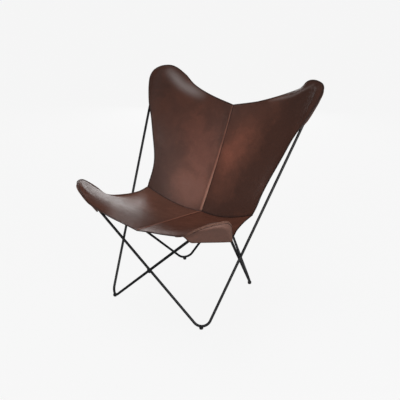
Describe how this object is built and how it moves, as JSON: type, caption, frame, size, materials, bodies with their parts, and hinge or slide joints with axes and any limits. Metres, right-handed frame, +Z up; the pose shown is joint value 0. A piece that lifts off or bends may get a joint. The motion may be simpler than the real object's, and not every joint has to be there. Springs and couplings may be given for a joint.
{
  "type": "butterfly sling chair",
  "caption": "Low lounge chair with a leather sling hung by corner pockets on a black frame of two bent and welded steel rod loops.",
  "frame": {"origin": "on the floor under the middle of the whole chair's box", "axes": "+Z up, -Y forward as the sitter looks, +X to the sitter's left"},
  "size_m": [0.8833, 0.7334, 0.9315],
  "materials": {
    "frame_coat": "semi-gloss black powder coat",
    "glide": "matt black",
    "sling_leather": "waxed dark brown, soft sheen",
    "pocket_leather": "waxed dark brown, duller than the sling"
  },
  "bodies": {
    "root": {"frame_loop_a": "frame_coat", "frame_loop_b": "frame_coat", "loop_a_closing_weld": "frame_coat", "loop_b_closing_weld": "frame_coat", "weld_front": "frame_coat", "weld_rear": "frame_coat", "weld_left": "frame_coat", "weld_right": "frame_coat", "glide_front_left": "glide", "glide_front_right": "glide", "glide_rear_left": "glide", "glide_rear_right": "glide", "back_panel_left": "sling_leather", "back_panel_right": "sling_leather", "seat_panel_left": "sling_leather", "seat_panel_right": "sling_leather", "pocket_back_left": "pocket_leather", "pocket_back_right": "pocket_leather", "pocket_front_left": "pocket_leather", "pocket_front_right": "pocket_leather"}
  },
  "joints": []
}
